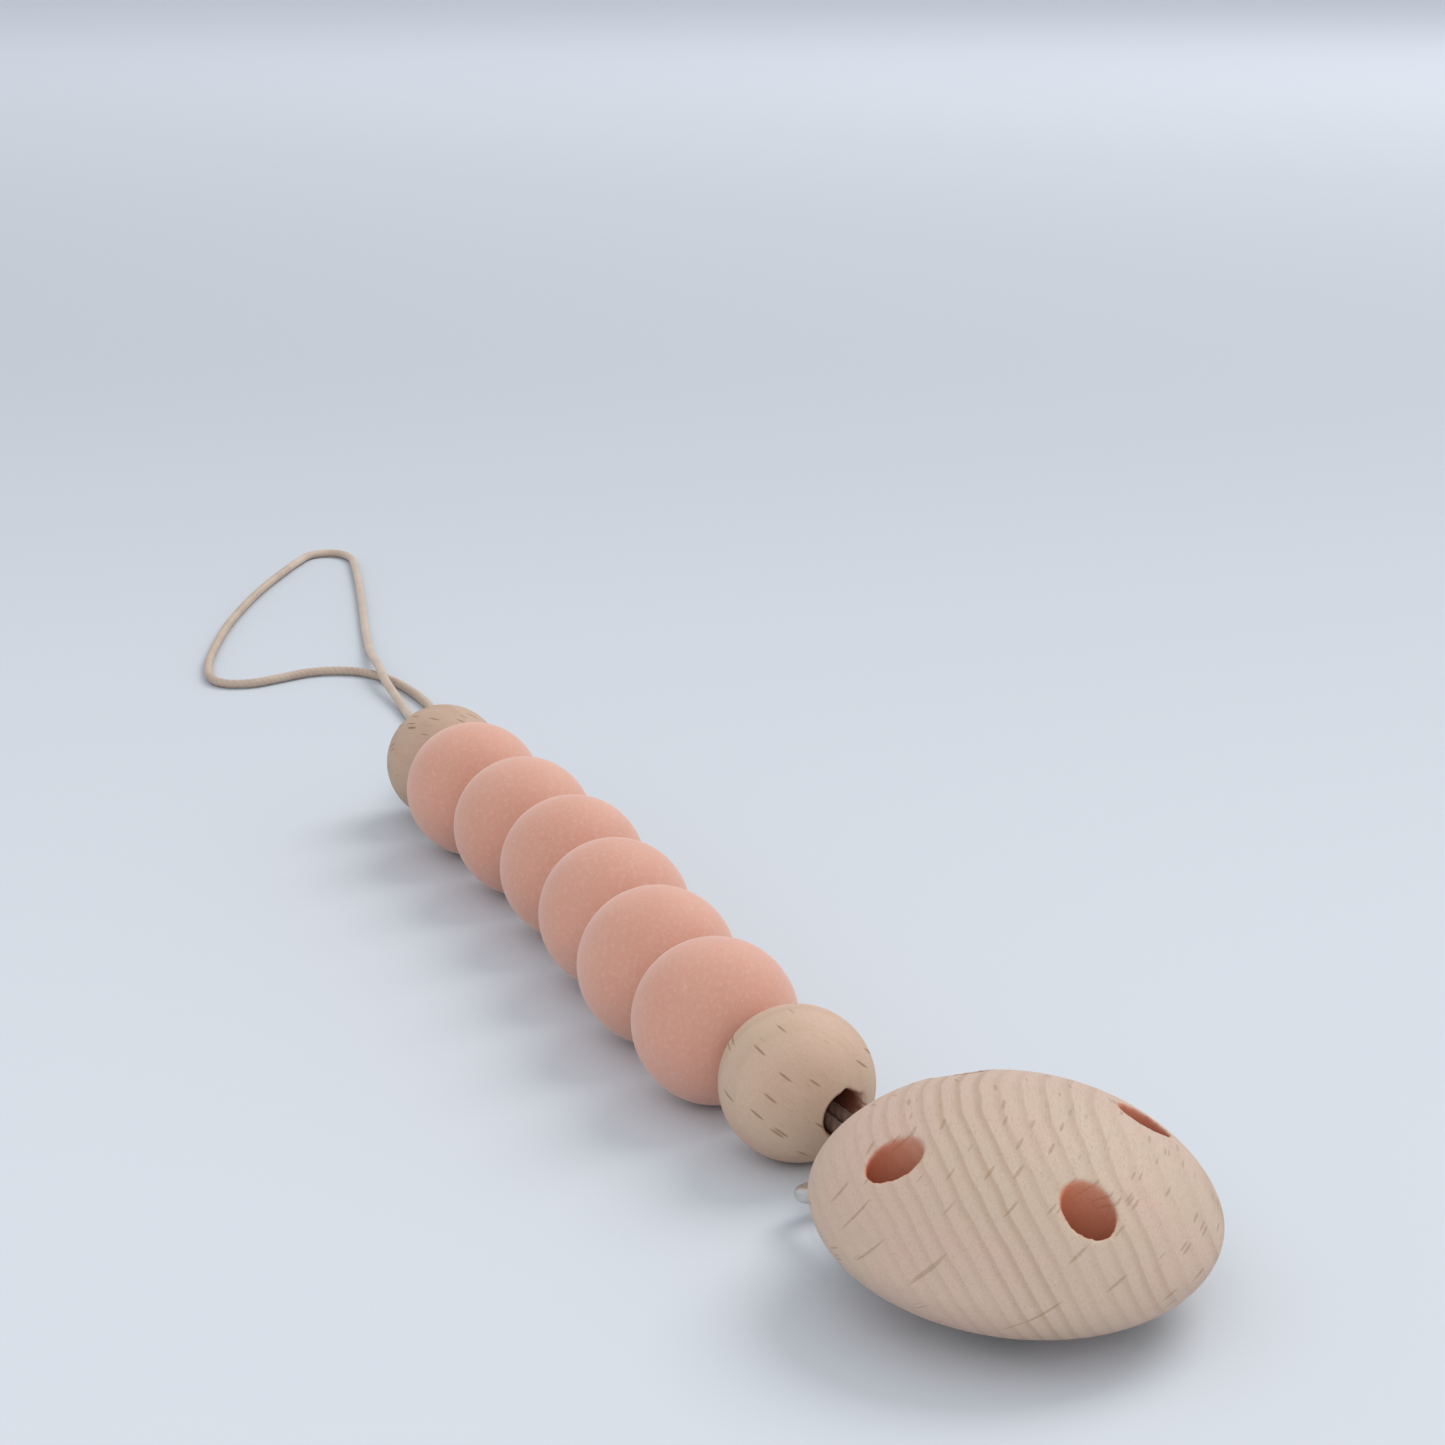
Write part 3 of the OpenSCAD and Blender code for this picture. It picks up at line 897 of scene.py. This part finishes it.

# %% [markdown]
# ## Waxed cord
#
# The cord is beige cotton under a thin coat of wax. Along it the dye is a little uneven, with
# darker fibres and a paler wax bloom here and there. The fibres of each ply are fine streaks that
# follow the twist; here they come from a fine noise that is mixed in and bumped rather than modelled.
# Inside the first wooden ball the cord has painted shade: it is painted dark and reddish there.

# %% Waxed cotton
waxed = Finish("waxed_cotton")
run = waxed.place()
dye = waxed.noise(run, 0.25, 3.0)
fibres = waxed.noise(run, 7.0, 3.0, 0.7)
bloom = waxed.noise(run, 1.4, 3.0)
tone = waxed.mix(waxed.band(dye, 0.35, 0.65), (0.54, 0.41, 0.32), (0.61, 0.48, 0.38))
tone = waxed.mix(waxed.band(fibres, 0.35, 0.8) * 0.45, tone, (0.37, 0.27, 0.20))
tone = waxed.mix(waxed.band(bloom, 0.5, 0.8) * 0.35, tone, (0.62, 0.52, 0.43))
from_ball = waxed.node(
    "ShaderNodeVectorMath", {"operation": "LENGTH"},
    {0: waxed.place(middle=near_place.translation)}, "Value",
)
# Painted shade: the cord within the first wooden ball is darkened to a dark red-brown.
inside = 1 - waxed.band(from_ball, 6.9, 7.6)
tone = waxed.mix(inside * 0.8, tone, (0.15, 0.065, 0.04))
waxed.shade(
    Base_Color=tone, Roughness=waxed.band(bloom, 0.3, 0.8) * 0.2 + 0.5,
    Normal=waxed.bump(fibres, 0.03), Sheen_Weight=0.2, Sheen_Roughness=0.4,
)
for piece in (waxed_loop, lark_hitch):
    wear(piece, waxed)
inner_cords = [node for node in frame["nodes"] if node.startswith(("cord_in_", "cord_knot"))]
for node in inner_cords:
    wear(frame["nodes"][node], waxed)
print("cord on", 2 + len(inner_cords), "pieces")

# %% [markdown]
# ## Nickel-plated steel and nylon
#
# The clip's steel is stamped, tumbled and nickel-plated. It is satin rather than bright, with fine
# lines along the rolling direction and a few scratches scattered over it. The pad is plain
# off-white nylon with the slightly cloudy skin that moulded nylon has.

# %% Steel and nylon
nickel = Finish("nickel_steel")
sheet_place = nickel.place()
rolled = nickel.noise(nickel.stretched(sheet_place, (0.7, 24.0, 24.0)), 1.0, 3.0)
smudge = nickel.noise(sheet_place, 0.35, 4.0)
scratches = nickel.noise(nickel.stretched(sheet_place, (30.0, 1.1, 30.0)), 1.0, 1.0)
scratch = nickel.band(scratches, 0.7, 0.74)
plate_tone = nickel.mix(nickel.band(smudge, 0.35, 0.7), (0.66, 0.64, 0.60), (0.56, 0.55, 0.535))
plate_tone = nickel.mix(scratch * 0.4, plate_tone, (0.80, 0.79, 0.77))
nickel.shade(
    Base_Color=plate_tone, Metallic=1.0,
    Roughness=nickel.band(rolled, 0.3, 0.7) * 0.12 + smudge * 0.14 + 0.2,
    Normal=nickel.bump(rolled - scratch * 0.6, 0.006),
)
for piece in (*steel_parts, wire_bail):
    wear(piece, nickel)

nylon = Finish("moulded_nylon")
body_place = nylon.place()
milk = nylon.noise(body_place, 0.5, 3.0)
pebble = nylon.noise(body_place, 6.0, 3.0)
milk_tone = nylon.mix(nylon.band(milk, 0.3, 0.7), (0.80, 0.78, 0.70), (0.74, 0.72, 0.64))
nylon.shade(
    Base_Color=milk_tone, Roughness=pebble * 0.2 + 0.4, Normal=nylon.bump(pebble, 0.01),
    Subsurface_Weight=0.15, Subsurface_Radius=(1.0, 0.9, 0.8), Subsurface_Scale=0.001,
)
wear(nylon_pad, nylon)
print("steel on", len(steel_parts) + 1, "pieces, nylon on the pad")

# %% [markdown]
# ## The table and the light
#
# The stage is a pale table, wide enough to reach the horizon, and isn't part of the object. Its
# tone is painted light that changes slowly with the distance from the clip: painted brighter in
# front, painted a little darker behind the string and pale again far away. A large soft light
# stands high behind the string on the right, a weaker one fills from the left, and the pale
# surroundings do the rest, so that the shadows are broad and fall towards the camera's left.

# %% A pale table with painted light, the surroundings and two lights
bpy.ops.object.select_all(action="DESELECT")
bpy.ops.mesh.primitive_plane_add(size=30, location=(0, 0, 0))
table = bpy.context.object
table.name = "pale_table"
pale = Finish("pale_table")
# Painted light on the table: brighter in front, darker behind the string, pale again far away.
away = pale.split(pale.place((0, 0, view_turn)))[0]
painted_light_falloff = pale.mix(pale.band(away, -160, 450), (0.67, 0.71, 0.76), (0.51, 0.55, 0.60))
pale.shade(
    Base_Color=pale.mix(pale.band(away, 450, 2000), painted_light_falloff, (0.66, 0.70, 0.77)),
    Roughness=0.85, Specular_IOR_Level=0.15,
)
wear(table, pale)

world = bpy.data.worlds.new("pale_room")
world.use_nodes = True
world.node_tree.nodes["Background"].inputs["Color"].default_value = (0.70, 0.72, 0.75, 1)
world.node_tree.nodes["Background"].inputs["Strength"].default_value = 1.0
bpy.context.scene.world = world


def soft_light(name, place, size, power, colour):
    """A round area light that faces the origin; place and size are in metres, power in watts."""
    data = bpy.data.lights.new(name, "AREA")
    data.shape = "DISK"
    data.size = size
    data.energy = power
    data.color = colour
    light = bpy.data.objects.new(name, data)
    light.location = place
    light.rotation_euler = (-Vector(place)).to_track_quat("-Z", "Y").to_euler()
    bpy.context.scene.collection.objects.link(light)


soft_light("window", (0.7, -1.5, 1.7), 1.5, 24.0, (1.0, 0.98, 0.95))
soft_light("fill", (-1.4, 0.7, 1.0), 1.4, 6.0, (1.0, 0.99, 0.98))
bpy.context.scene.view_settings.view_transform = "Standard"
print("stage and lights set")
